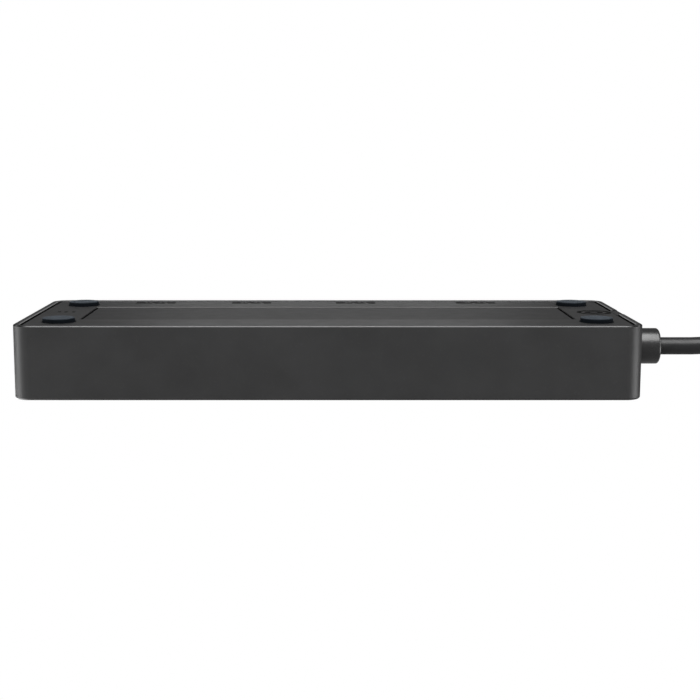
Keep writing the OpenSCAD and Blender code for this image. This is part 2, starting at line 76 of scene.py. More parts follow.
# ---- Camera ----
# The strip is seen from below and upside-down: its feet point up in the picture.

def make_camera():
    focal_px, frame_px, sensor_mm = 1350.0, 700.0, 36.0
    pitch = math.radians(8.551)
    distance, below_rim = 642 * MM, 84.9 * MM
    rim_z, side_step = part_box("housing")[0].z, 0.2 * MM
    front_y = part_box("housing")[0].y
    data = bpy.data.cameras.new("camera")
    data.sensor_width = sensor_mm
    data.lens = focal_px / frame_px * sensor_mm
    data.shift_x = 0.0325
    data.clip_start, data.clip_end = 0.01, 20
    camera = bpy.data.objects.new("camera", data)
    right = Vector((-1, 0, 0))
    up = Vector((0, math.sin(pitch), -math.cos(pitch)))
    back = right.cross(up)
    place = Matrix((right, up, back)).transposed().to_4x4()
    place.translation = Vector((side_step, front_y - distance, rim_z - below_rim))
    camera.matrix_world = place
    scene.collection.objects.link(camera)
    scene.camera = camera


make_camera()


# ---- Mesh helpers ----

def new_piece(name, bm, body, slot, sharp_degrees=40):
    """Links a bmesh as a smooth shaded piece that rides on a body."""
    bmesh.ops.recalc_face_normals(bm, faces=bm.faces)
    mesh = bpy.data.meshes.new(name)
    bm.to_mesh(mesh)
    bm.free()
    mesh.shade_smooth()
    mesh.set_sharp_from_angle(angle=math.radians(sharp_degrees))
    piece = bpy.data.objects.new(name, mesh)
    scene.collection.objects.link(piece)
    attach(piece, body)
    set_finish(piece, slot)
    return piece


def add_rings(bm, rings, cap_start=True, cap_end=True):
    """Skins rings of equally many points, and closes the ends."""
    made = [[bm.verts.new(p) for p in ring] for ring in rings]
    count = len(rings[0])
    for a, b in zip(made, made[1:]):
        for i in range(count):
            j = (i + 1) % count
            bm.faces.new((a[i], a[j], b[j], b[i]))
    if cap_start:
        bm.faces.new(made[0][::-1])
    if cap_end:
        bm.faces.new(made[-1])


def tube_rings(points, radius, sides):
    """Rings round a path, turned as little as possible from one to the next."""
    last = len(points) - 1
    ways = [(points[min(i + 1, last)] - points[max(i - 1, 0)]).normalized()
            for i in range(last + 1)]
    side = ways[0].orthogonal().normalized()
    rings = []
    for point, way in zip(points, ways):
        side = (side - way * side.dot(way)).normalized()
        other = way.cross(side)
        rings.append([
            point + radius * (math.cos(a) * side + math.sin(a) * other)
            for a in (2 * math.pi * k / sides for k in range(sides))
        ])
    return rings


def turned_rings(profile, sides, place):
    """Rings of a turned shape: profile is (distance along +Z, radius), place moves it."""
    return [
        [place @ Vector((r * math.cos(a), r * math.sin(a), z))
         for a in (2 * math.pi * k / sides for k in range(sides))]
        for z, r in profile
    ]


def rounded_edge(z0, r0, z1, r1, steps=4):
    """Quarter round in a profile, from (z0, r0) to (z1, r1): it leaves along the radius."""
    return [
        (z0 + (z1 - z0) * (1 - math.cos(a)), r0 + (r1 - r0) * math.sin(a))
        for a in (math.pi / 2 * k / steps for k in range(steps + 1))
    ]


# ---- Lead: the route's points are those of the CAD source ----
CORD_D = 9.1 * MM
COIL_CENTRE = Vector((-294 * MM, -22 * MM, 0))
COIL_R, COIL_PITCH = 64 * MM, 9.2 * MM
COIL_TURNS = 5.135
COIL_LOW_Z, COIL_HIGH_Z = 5.55 * MM, 14.65 * MM
COIL_START = math.radians(41.4)

LEAD_ROUTE_MM = [
    (-172.3, 0, 19.4), (-180, 0, 19.4), (-185, 0, 19.4), (-190, 0, 19.4), (-195, 0, 19.2),
    (-201, 0, 18.5), (-209.4, 0.6, 16.7), (-217.5, 2.3, 13.8), (-225.4, 5.2, 10.4),
    (-232.8, 9.1, 7.8), (-239.6, 14, 6.2),
]
TAIL_ROUTE_MM = [
    (-302, 42, 14.6), (-310, 42, 14.5), (-316, 42, 14.3), (-322, 42, 14.1), (-327, 42, 14),
    (-332, 42, 14), (-335, 42, 14),
]


def smooth(t):
    t = min(max(t, 0.0), 1.0)
    return t * t * (3 - 2 * t)


def coil_point(turn):
    """Two layers of turns: inwards on the floor, up over half a turn, and outwards on top."""
    from_middle = turn - COIL_TURNS / 2
    r = COIL_R - COIL_PITCH * (COIL_TURNS / 2 - abs(from_middle))
    z = COIL_LOW_Z + (COIL_HIGH_Z - COIL_LOW_Z) * smooth(from_middle * 2 + 0.5)
    angle = COIL_START + 2 * math.pi * turn
    return COIL_CENTRE + Vector((r * math.cos(angle), r * math.sin(angle), z))


def route():
    steps = round(COIL_TURNS * 48)
    lead = [Vector(p) * MM for p in LEAD_ROUTE_MM]
    tail = [Vector(p) * MM for p in TAIL_ROUTE_MM]
    return lead + [coil_point(COIL_TURNS * i / steps) for i in range(steps + 1)] + tail


def make_cord():
    points = route()
    bm = bmesh.new()
    add_rings(bm, tube_rings(points, CORD_D / 2, 24))
    cord = new_piece("cord", bm, "strip", "cord_jacket", sharp_degrees=60)
    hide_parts("cord_lead", "cord_coil", "cord_tail")
    return cord, points


# ---- Plug ----
PLUG_X, PLUG_AXIS = -332 * MM, Vector((0, 42 * MM, 14 * MM))

# Distance along the plug, half width, half height and squareness of its sections
PLUG_SECTIONS_MM = [
    (23.6, 7.4, 7.4, 2.0), (25, 8.4, 8.3, 2.1), (27, 10.3, 10.2, 2.5), (29, 11.7, 11.8, 2.9),
    (31.5, 12.5, 12.9, 3.3), (34.5, 12.6, 13.3, 3.6), (38, 12.0, 12.9, 3.8),
    (42, 11.7, 12.7, 3.9), (46, 11.9, 12.9, 4.0), (49.5, 12.5, 13.4, 4.2),
    (51.6, 13.3, 13.85, 4.5), (52.8, 13.5, 14, 4.8), (58.4, 13.5, 14, 5.0),
    (59.3, 13.35, 13.85, 5.0), (59.8, 13.0, 13.5, 5.0), (60, 12.4, 12.9, 5.0),
]


def squared_ring(x, a, b, power, sides):
    """Ring across X round the plug's axis, between an ellipse (power 2) and a rectangle."""
    ring = []
    for k in range(sides):
        t = 2 * math.pi * (k + 0.5) / sides
        c, s = math.cos(t), math.sin(t)
        y = a * math.copysign(abs(c) ** (2 / power), c)
        z = b * math.copysign(abs(s) ** (2 / power), s)
        ring.append(Vector((x, PLUG_AXIS.y + y, PLUG_AXIS.z + z)))
    return ring


def plug_section(s):
    """Section at the distance s (mm), blended between its neighbours in the list."""
    for low, high in zip(PLUG_SECTIONS_MM, PLUG_SECTIONS_MM[1:]):
        if s <= high[0]:
            t = (s - low[0]) / (high[0] - low[0])
            return [p + (q - p) * t for p, q in zip(low[1:], high[1:])]
    return list(PLUG_SECTIONS_MM[-1][1:])


def make_plug():
    sides, round_power = 64, 2
    mouth_r_mm, relief_r_mm, relief_grow = 5.6, 6.0, 1.4 / 23.6
    ribs, rib_pitch_mm, rib_depth_mm, ribs_end_mm, steps = 7, 3.3, 0.9, 22, 8
    grip_from_mm, grip_to_mm, grip_pitch_mm, grip_h_mm = 35.5, 48.5, 2.6, 0.35
    body_step_mm, body_end_mm = 0.325, 52
    bm = bmesh.new()
    rings = [squared_ring(PLUG_X, mouth_r_mm * MM, mouth_r_mm * MM, round_power, sides)]
    for i in range(ribs * steps + 1):
        s = 0.3 + rib_pitch_mm * i / steps
        near = min(i % steps, steps - i % steps) / steps
        dip = smooth(4 * near - 1) if s < ribs_end_mm else 0
        r = relief_r_mm + relief_grow * s - rib_depth_mm * dip
        rings.append(squared_ring(PLUG_X - s * MM, r * MM, r * MM, round_power, sides))
    s = PLUG_SECTIONS_MM[0][0]
    while s < body_end_mm:
        a, b, power = plug_section(s)
        wave = math.sin(2 * math.pi * (s - grip_from_mm) / grip_pitch_mm)
        grip = grip_h_mm * max(0, wave) if grip_from_mm < s < grip_to_mm else 0
        rings.append(squared_ring(PLUG_X - s * MM, (a + grip) * MM, b * MM, power, sides))
        s += body_step_mm
    for s, a, b, power in PLUG_SECTIONS_MM[-5:]:
        rings.append(squared_ring(PLUG_X - s * MM, a * MM, b * MM, power, sides))
    add_rings(bm, rings)
    plug = new_piece("plug", bm, "strip", "moulding", sharp_degrees=50)
    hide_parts("plug_body")
    return plug


def make_blade(name, node):
    """Flat blade with a narrowed tip and a round hole, as thick and wide as its CAD node."""
    low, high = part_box(node)
    middle, half_w = (low + high) / 2, (high.z - low.z) / 2
    length, thick = high.x - low.x, high.y - low.y
    tip, tip_half_w, root, edge = 2.6 * MM, half_w * 0.55, 2 * MM, 0.2 * MM
    hole_r, hole_from_end, sides = 1.55 * MM, 6 * MM, 24
    outline = [
        (-root, -half_w), (length - tip, -half_w), (length, -tip_half_w),
        (length, tip_half_w), (length - tip, half_w), (-root, half_w),
    ]
    hole = [(length - hole_from_end + hole_r * math.cos(a), hole_r * math.sin(a))
            for a in (2 * math.pi * k / sides for k in range(sides))]
    curve = bpy.data.curves.new(name, "CURVE")
    curve.dimensions, curve.fill_mode = "2D", "BOTH"
    curve.extrude, curve.bevel_depth, curve.bevel_resolution = thick / 2 - edge, edge, 2
    curve.offset = -edge
    for points in (outline, hole):
        spline = curve.splines.new("POLY")
        spline.use_cyclic_u = True
        spline.points.add(len(points) - 1)
        for point, (x, y) in zip(spline.points, points):
            point.co = (x, y, 0, 1)
    helper = bpy.data.objects.new(name + "_curve", curve)
    mesh = bpy.data.meshes.new_from_object(helper)
    bpy.data.objects.remove(helper)
    bm = bmesh.new()
    bm.from_mesh(mesh)
    # the curve's x runs along -X, its y along Z, and its thickness along Y
    turn = Matrix(((-1, 0, 0, high.x), (0, 0, 1, middle.y), (0, 1, 0, middle.z), (0, 0, 0, 1)))
    bm.transform(turn)
    bmesh.ops.remove_doubles(bm, verts=bm.verts, dist=1e-6)
    blade = new_piece(name, bm, "strip", "plated_blades", sharp_degrees=30)
    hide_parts(node)
    return blade


def make_ground_pin():
    low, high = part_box("plug_ground_pin")
    r, length = (high.y - low.y) / 2, high.x - low.x
    root, root_r, dome_l, tip_r, steps = 2 * MM, r * 0.98, 3 * MM, 0.15 * MM, 8
    place = Matrix.Translation(Vector((high.x, (low.y + high.y) / 2, (low.z + high.z) / 2)))
    place = place @ Matrix.Rotation(math.radians(-90), 4, "Y")
    dome = [(length - dome_l + dome_l * math.sin(a), r * math.cos(a))
            for a in (math.pi / 2 * k / steps for k in range(steps))]
    profile = [(-root, root_r), (0, root_r)] + dome + [(length, tip_r)]
    bm = bmesh.new()
    add_rings(bm, turned_rings(profile, 32, place))
    pin = new_piece("ground_pin", bm, "strip", "plated_blades")
    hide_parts("plug_ground_pin")
    return pin


# ---- Gland: round outside with a soft end, and its neck and flange behind the end wall ----

def make_gland():
    low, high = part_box("gland")
    wall, axis_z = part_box("housing")[0].x, (low.z + high.z) / 2
    outer, neck, flange = 9.3 * MM, 8.55 * MM, (high.z - low.z) / 2
    mouth, soft, deep = CORD_D / 2 + 0.25 * MM, 1.3 * MM, 4 * MM
    chamfer, wall_round, wall_dip = 0.15 * MM, 0.25 * MM, 0.2 * MM
    out = wall - low.x
    neck_l, flange_t = 5.1 * MM, 3 * MM
    profile = [(deep, mouth), (chamfer, mouth), (0, mouth + chamfer)]
    profile += rounded_edge(0, outer - soft, soft, outer, 6)
    profile += [
        (out - wall_round, outer), (out + 0.01 * MM, outer - wall_dip), (out + 0.02 * MM, neck),
        (out + neck_l, neck), (out + neck_l, flange), (out + neck_l + flange_t, flange),
        (out + neck_l + flange_t, mouth),
    ]
    place = Matrix.Translation(Vector((low.x, 0, axis_z)))
    place = place @ Matrix.Rotation(math.radians(90), 4, "Y")
    bm = bmesh.new()
    add_rings(bm, turned_rings(profile, 72, place), cap_start=False, cap_end=False)
    gland = new_piece("strain_relief", bm, "strip", "moulding")
    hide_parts("gland")
    return gland


# ---- Strap round the coil ----

def strap_outline(gap, angle):
    """Outline round the turns where the strap crosses them, gap away from their surface."""
    centres = []
    turn = (angle - COIL_START) / (2 * math.pi)
    turn -= math.floor(turn)
    while turn < COIL_TURNS:
        point = coil_point(turn) - COIL_CENTRE
        centres.append(Vector((math.hypot(point.x, point.y), point.z)))
        turn += 1
    radius = CORD_D / 2 + gap
    around = [
        c + radius * Vector((math.cos(a), math.sin(a)))
        for c in centres for a in (2 * math.pi * k / 48 for k in range(48))
    ]
    around.sort(key=lambda p: (round(p.x, 7), round(p.y, 7)))
    return half_hull(around) + half_hull(around[::-1])


def half_hull(points):
    hull = []
    for p in points:
        while len(hull) > 1 and turn_of(hull[-2], hull[-1], p) <= 1e-12:
            hull.pop()
        hull.append(p)
    return hull[:-1]


def turn_of(a, b, c):
    return (b.x - a.x) * (c.y - a.y) - (b.y - a.y) * (c.x - a.x)


def even_steps(outline, count):
    """Points at even distances along a closed outline."""
    closed = outline + outline[:1]
    lengths = [0.0]
    for a, b in zip(closed, closed[1:]):
        lengths.append(lengths[-1] + (b - a).length)
    result, i = [], 0
    for k in range(count):
        at = lengths[-1] * k / count
        while lengths[i + 1] < at:
            i += 1
        part = (at - lengths[i]) / (lengths[i + 1] - lengths[i])
        result.append(closed[i].lerp(closed[i + 1], part))
    return result


def make_strap():
    angle, half_w, thick, count = -math.pi / 2, 6 * MM, 0.8 * MM, 96
    outline = strap_outline(0.1 * MM, angle)
    first = max(range(len(outline)), key=lambda i: outline[i].x)
    inner = even_steps(outline[first:] + outline[:first], count)
    rings = []
    # once round and a little further, where the free end lies on the first layer
    overlap, climb, taper, lift_factor, end_narrowing = 22, 6, 4, 1.02, 0.35
    laps = count + overlap
    for k in range(laps + 1):
        here, past = inner[k % count], inner[(k + 1) % count]
        way = (past - inner[(k - 1) % count]).normalized()
        out = Vector((way.y, -way.x))
        lift = thick * smooth((k - count + climb) / climb) * lift_factor
        end = 1 - end_narrowing * smooth((k - laps + taper) / taper)
        a, b = here + out * lift, here + out * (lift + thick)
        section = [(a, -1), (a, 1), (b, 1), (b, -1)]
        rings.append([
            COIL_CENTRE + Vector((w * half_w * end, -p.x, p.y)) for p, w in section
        ])
    bm = bmesh.new()
    add_rings(bm, rings)
    strap = new_piece("strap", bm, "strip", "tie_strap", sharp_degrees=60)
    bevel = strap.modifiers.new("edges", "BEVEL")
    bevel.width, bevel.segments, bevel.limit_method = 0.2 * MM, 2, "ANGLE"
    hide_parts("cord_tie")
    return strap


cord, cord_path = make_cord()
gland = make_gland()
strap = make_strap()
plug = make_plug()
blades = [
    make_blade("line_blade", "plug_line_blade"),
    make_blade("neutral_blade", "plug_neutral_blade"),
    make_ground_pin(),
]


# ---- Feet ----

def make_foot(n):
    low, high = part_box(f"foot_{n}")
    r, top = (high.x - low.x) / 2, high.z
    middle = (low + high) / 2
    face_r, soft = r - 0.25 * MM, 0.3 * MM
    profile = [(top, 0.1 * MM), (top, r - 0.05 * MM), (top - 0.4 * MM, r)]
    profile += [(soft, face_r)] + [
        (soft - soft * math.sin(a), face_r - soft + soft * math.cos(a))
        for a in (math.pi / 2 * k / 5 for k in range(1, 6))
    ]
    profile += [(0, face_r * 0.5), (0, 0.1 * MM)]
    bm = bmesh.new()
    place = Matrix.Translation(Vector((middle.x, middle.y, 0)))
    add_rings(bm, turned_rings(profile, 64, place))
    foot = new_piece(f"rubber_foot_{n}", bm, "strip", "foot_rubber")
    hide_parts(f"foot_{n}")


for foot_number in (1, 2, 3, 4):
    make_foot(foot_number)


# ---- Plain dashes and rings moulded into the base plate ----

# Groups of dashes: each group's middle, and each row's place across and lengths
GROUP_X_MM, GROUP_HALF_MM = (95, 42, -15.6, -82), 11
DASH_ROWS_MM = [(49.0, (7, 4, 8)), (46.2, (5, 9, 5)), (43.4, (9, 6, 4))]
DASH_W_MM, DASH_GAP_MM = 1.7, 1.4
SMALL_BAR_X_MM, SMALL_BAR_Y_MM, SMALL_BAR_MM = (140.5, 137, 133), 4.4, (1.8, 3.2)
RING_CENTRE_MM, RINGS_MM = (-139, 2.4), ((7.8, 2.4), (3.4, 2.8))


def add_bar(bm, x, y, length, width, z, rise):
    """Low bar with chamfered edges on the base plate."""
    flat = [(-1, -1), (1, -1), (1, 1), (-1, 1)]
    chamfer = 0.12 * MM
    foot_ring = [Vector((x + i * length / 2, y + j * width / 2, z + rise)) for i, j in flat]
    face_ring = [
        Vector((x + i * (length / 2 - chamfer), y + j * (width / 2 - chamfer), z - rise))
        for i, j in flat
    ]
    add_rings(bm, [foot_ring, face_ring])


def add_ring(bm, x, y, r, width, z, rise):
    place = Matrix.Translation(Vector((x, y, 0)))
    profile = [(z + rise, r + width / 2), (z - rise, r + width / 2 - rise),
               (z - rise, r - width / 2 + rise), (z + rise, r - width / 2)]
    add_rings(bm, turned_rings(profile, 64, place), cap_start=False, cap_end=False)


def make_base_marks():
    z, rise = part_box("base_plate")[0].z, 0.05 * MM
    bm = bmesh.new()
    for group_x in GROUP_X_MM:
        for y, lengths in DASH_ROWS_MM:
            x = group_x + GROUP_HALF_MM
            for length in lengths:
                add_bar(bm, (x - length / 2) * MM, y * MM, length * MM, DASH_W_MM * MM, z, rise)
                x -= length + DASH_GAP_MM
    for x in SMALL_BAR_X_MM:
        length, width = SMALL_BAR_MM
        add_bar(bm, x * MM, SMALL_BAR_Y_MM * MM, length * MM, width * MM, z, rise)
    for r, width in RINGS_MM:
        x, y = RING_CENTRE_MM
        add_ring(bm, x * MM, y * MM, r * MM, width * MM, z, rise)
    return new_piece("base_marks", bm, "strip", "base_plastic", sharp_degrees=20)


base_marks = make_base_marks()


# ---- Rocker: dished top, soft edges and three grip ribs towards one end ----

def make_rocker():
    pivot = Vector((-112 * MM, -21 * MM, 36.8 * MM))
    tilt, half_w = math.radians(-7), 5.7 * MM
    half_l_mm, top_mm, dish_mm, dish_power = 12.6, 3.2, 1.5, 1.3
    rib_x_mm, rib_half_w, rib_r = (7.2, 8.8, 10.4), 3.6 * MM, 0.22 * MM
    top = [(half_l_mm * math.cos(a), top_mm - dish_mm * math.sin(a) ** dish_power)
           for a in (math.pi * k / 24 for k in range(25))]
    under = [(-half_l_mm, 0), (-8, -5.5), (-3, -7), (3, -7), (8, -5.5), (half_l_mm, 0)]
    profile = [Vector((x * MM, 0, z * MM)) for x, z in top + under]
    bm = bmesh.new()
    add_rings(bm, [[p + Vector((0, side * half_w, 0)) for p in profile] for side in (-1, 1)])
    for sign in (-1, 1):
        place = Matrix.Translation(Vector((0, sign * half_w, 0)))
        place = place @ Matrix.Rotation(math.radians(-90 * sign), 4, "X")
        pin = [(-0.5 * MM, 1.2 * MM), (1.7 * MM, 1.2 * MM), (1.9 * MM, 1.0 * MM)]
        add_rings(bm, turned_rings(pin, 24, place))
    for x in rib_x_mm:
        z = (top_mm - dish_mm * math.sqrt(1 - (x / half_l_mm) ** 2) ** dish_power) * MM
        rib = [Vector((x * MM, -rib_half_w, z)), Vector((x * MM, rib_half_w, z))]
        add_rings(bm, tube_rings(rib, rib_r, 12))
    bm.transform(Matrix.Translation(pivot) @ Matrix.Rotation(tilt, 4, "Y"))
    rocker = new_piece("rocker_cap", bm, "rocker", "rocker_red", sharp_degrees=35)
    bevel = rocker.modifiers.new("edges", "BEVEL")
    bevel.width, bevel.segments, bevel.limit_method = 0.35 * MM, 3, "ANGLE"
    bevel.angle_limit = math.radians(50)
    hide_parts("switch_rocker")


make_rocker()


# ---- Springs ----

def helix(d, wire, length, turns, place):
    """Round wire wound along +Z with closed ends, then moved by place."""
    steps, r = turns * 20, (d - wire) / 2
    points = []
    for i in range(steps + 1):
        t = i / steps
        rise = smooth(t) * 0.35 + t * 0.65
        a = 2 * math.pi * turns * t
        z = wire / 2 + (length - wire) * rise
        points.append(place @ Vector((r * math.cos(a), r * math.sin(a), z)))
    return tube_rings(points, wire / 2, 10)


def make_springs():
    for n in range(1, 9):
        low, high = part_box(f"spring_{n}")
        place = Matrix.Translation(Vector(((low.x + high.x) / 2, low.y, (low.z + high.z) / 2)))
        place = place @ Matrix.Rotation(math.radians(-90), 4, "X")
        bm = bmesh.new()
        add_rings(bm, helix(2.4 * MM, 0.4 * MM, high.y - low.y, 6, place))
        spring = new_piece(f"shutter_spring_{n}", bm, "strip", "steel", sharp_degrees=70)
        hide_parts(f"spring_{n}")
        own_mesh(spring)
    low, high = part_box("reset_spring")
    place = Matrix.Translation(Vector(((low.x + high.x) / 2, (low.y + high.y) / 2, low.z)))
    bm = bmesh.new()
    add_rings(bm, helix(6.6 * MM, 0.7 * MM, high.z - low.z, 5, place))
    spring = new_piece("button_spring", bm, "strip", "steel", sharp_degrees=70)
    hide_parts("reset_spring")


make_springs()


# ---- Materials ----

class Tree:
    """Short way to wire a material's nodes."""

    def __init__(self, name):
        self.material = bpy.data.materials.new(name)
        self.material.use_nodes = True
        self.tree = self.material.node_tree
        self.shader = self.tree.nodes["Principled BSDF"]
        place = self.add("ShaderNodeTexCoord")
        self.here = place.outputs["Object"]

    def add(self, kind, **values):
        node = self.tree.nodes.new(kind)
        for name, value in values.items():
            setattr(node, name, value)
        return node

    def link(self, a, b):
        self.tree.links.new(a, b)

    def stretched(self, scale):
        mapping = self.add("ShaderNodeMapping")
        mapping.inputs["Scale"].default_value = scale
        self.link(self.here, mapping.inputs["Vector"])
        return mapping.outputs["Vector"]

    def noise(self, size, detail=2.0, rough=0.5, stretch=None):
        node = self.add("ShaderNodeTexNoise")
        node.inputs["Scale"].default_value = 1 / size
        node.inputs["Detail"].default_value = detail
        node.inputs["Roughness"].default_value = rough
        self.link(self.stretched(stretch) if stretch else self.here, node.inputs["Vector"])
        return node.outputs["Fac"]

    def ramp(self, value, low, high, out_low, out_high):
        node = self.add("ShaderNodeMapRange")
        node.inputs["From Min"].default_value = low
        node.inputs["From Max"].default_value = high
        node.inputs["To Min"].default_value = out_low
        node.inputs["To Max"].default_value = out_high
        self.link(value, node.inputs["Value"])
        return node.outputs["Result"]

    def math(self, operation, a, b):
        node = self.add("ShaderNodeMath", operation=operation)
        self.link(a, node.inputs[0])
        self.link(b, node.inputs[1])
        return node.outputs[0]

    def coordinate(self, letter):
        """Place along X or Y, or distance above the floor, at rest."""
        node = self.add("ShaderNodeSeparateXYZ")
        self.link(self.here, node.inputs[0])
        return node.outputs[letter]

    def inwards(self, letter, half):
        """Distance inwards from the planes at -half and half."""
        node = self.add("ShaderNodeMath", operation="ABSOLUTE")
        self.link(self.coordinate(letter), node.inputs[0])
        return self.ramp(node.outputs[0], 0, half, half, 0)

    def inwards_both(self, high):
        """Distance inwards from the sides of a block that is centred on the origin."""
        return self.math("MINIMUM", self.inwards("X", high.x), self.inwards("Y", high.y))

    def blend(self, factor, a, b):
        node = self.add("ShaderNodeMix", data_type="RGBA")
        for socket, value in ((6, a), (7, b)):
            if isinstance(value, tuple):
                node.inputs[socket].default_value = (*value, 1)
            else:
                self.link(value, node.inputs[socket])
        self.link(factor, node.inputs[0])
        return node.outputs[2]

    def bump(self, height, distance, strength=1.0, under=None):
        node = self.add("ShaderNodeBump")
        node.inputs["Distance"].default_value = distance
        if isinstance(strength, float):
            node.inputs["Strength"].default_value = strength
        else:
            self.link(strength, node.inputs["Strength"])
        self.link(height, node.inputs["Height"])
        if under is not None:
            self.link(under, node.inputs["Normal"])
        return node.outputs["Normal"]

    def finish(self, color, rough, normal, **values):
        self.link(color, self.shader.inputs["Base Color"])
        self.link(rough, self.shader.inputs["Roughness"])
        self.link(normal, self.shader.inputs["Normal"])
        for name, value in values.items():
            self.shader.inputs[name.replace("_", " ")].default_value = value
        return self.material


def scaled(color, factor):
    return tuple(c * factor for c in color)


def plastic(name, color, rough, **values):
    return moulded(Tree(name), color, rough, **values)


def moulded(t, color, rough, depth=0.022 * MM, vary=0.12, patches=(), calm=1.0, dull=None,
            **values):
    """Moulded plastic: fine grain, faint flow waves, and uneven colour and gloss.

    A patch is a mask with the colour and the change of roughness that it brings. calm is the
    strength of the grain, and dull a mask of where the shine goes.
    """
    grain = 0.35 * MM
    clouds = t.noise(22 * MM, 3)
    specks = t.noise(1.1 * MM, 2)
    tint = t.blend(t.ramp(clouds, 0.3, 0.7, 0, 1),
                   scaled(color, 1 - vary), scaled(color, 1 + vary))
    tint = t.blend(t.ramp(specks, 0.62, 0.74, 0, 0.35), tint, scaled(color, 1.5))
    gloss = t.ramp(t.noise(9 * MM, 4, 0.6), 0.3, 0.7, rough - 0.02, rough + 0.03)
    for mask, other_color, other_rough in patches:
        tint = t.blend(mask, tint, other_color)
        gloss = t.math("ADD", gloss, t.ramp(mask, 0, 1, 0, other_rough))
    if dull is not None:
        t.link(t.ramp(dull, 0, 1, 0.5, 0.03), t.shader.inputs["Specular IOR Level"])
    waves = t.bump(t.noise(45 * MM, 0), 0.05 * MM, 0.3)
    normal = t.bump(t.noise(grain, 2, 0.6), depth, calm, waves)
    return t.finish(tint, gloss, normal, **values)


def rubber(name, color):
    """Dust specks all over; its side is painted almost black and made less shiny, a painted
    shade, so the face that it stands on looks paler.
    """
    t = Tree(name)
    # Painted shade: the side, above the face that it stands on, is painted almost black here.
    side = t.ramp(t.coordinate("Z"), 0.1 * MM, 0.5 * MM, 0, 0.75)
    dust = t.ramp(t.noise(0.9 * MM, 3, 0.7), 0.58, 0.72, 0, 0.5)
    tint = t.blend(t.ramp(t.noise(6 * MM, 3), 0.3, 0.7, 0, 1),
                   scaled(color, 0.86), scaled(color, 1.12))
    tint = t.blend(dust, tint, scaled(color, 1.7))
    tint = t.blend(side, tint, scaled(color, 0.1))
    gloss = t.ramp(t.noise(3 * MM, 3), 0.3, 0.7, 0.62, 0.8)
    normal = t.bump(t.noise(0.28 * MM, 2, 0.7), 0.03 * MM)
    t.link(t.ramp(side, 0, 0.75, 0.2, 0.03), t.shader.inputs["Specular IOR Level"])
    t.link(t.ramp(side, 0, 0.75, 0.14, 0.02), t.shader.inputs["Sheen Weight"])
    return t.finish(tint, gloss, normal, Sheen_Roughness=0.35, Sheen_Tint=(0.8, 0.9, 1.0, 1.0))


def cord_jacket(name, color, rough, **values):
    """PVC jacket: faint matt grain, soft undulation and small scuffs."""
    t = Tree(name)
    scuffs = t.ramp(t.noise(1.6 * MM, 4, 0.7), 0.62, 0.8, 0, 0.6)
    tint = t.blend(t.ramp(t.noise(14 * MM, 2), 0.3, 0.7, 0, 1),
                   scaled(color, 0.85), scaled(color, 1.15))
    tint = t.blend(scuffs, tint, scaled(color, 2.2))
    gloss = t.ramp(t.noise(5 * MM, 3), 0.3, 0.7, rough - 0.05, rough + 0.08)
    soft = t.bump(t.noise(6 * MM, 1), 0.05 * MM, 0.6)
    normal = t.bump(t.noise(0.3 * MM, 2), 0.008 * MM, 1.0, soft)
    return t.finish(tint, gloss, normal, **values)


def metal(name, color, rough, stretch):
    """Drawn or stamped metal with fine lines along one direction and stains."""
    t = Tree(name)
    lines = t.noise(0.12 * MM, 3, 0.6, stretch)
    stains = t.noise(4 * MM, 4, 0.6)
    tint = t.blend(t.ramp(stains, 0.35, 0.7, 0, 1), color, scaled(color, 0.78))
    gloss = t.ramp(lines, 0.3, 0.7, rough - 0.06, rough + 0.12)
    normal = t.bump(lines, 0.004 * MM, 0.6)
    return t.finish(tint, gloss, normal, Metallic=1.0)


def strap_weave(name, color):
    """Woven nylon: crossed ribs, and fuzz that makes it paler and darker in flecks."""
    t = Tree(name)
    weave = t.add("ShaderNodeTexWave", wave_type="BANDS", bands_direction="DIAGONAL")
    weave.inputs["Scale"].default_value = 1 / (6.5 * MM)
    weave.inputs["Distortion"].default_value = 1.5
    weave.inputs["Detail"].default_value = 2
    t.link(t.here, weave.inputs["Vector"])
    fuzz = t.noise(0.35 * MM, 3, 0.7)
    tint = t.blend(t.ramp(fuzz, 0.35, 0.7, 0, 1), scaled(color, 0.6), scaled(color, 1.7))
    gloss = t.ramp(fuzz, 0.3, 0.7, 0.75, 0.95)
    normal = t.bump(fuzz, 0.12 * MM, 1.0, t.bump(weave.outputs["Fac"], 0.15 * MM))
    return t.finish(tint, gloss, normal, Sheen_Weight=0.4, Sheen_Roughness=0.4)


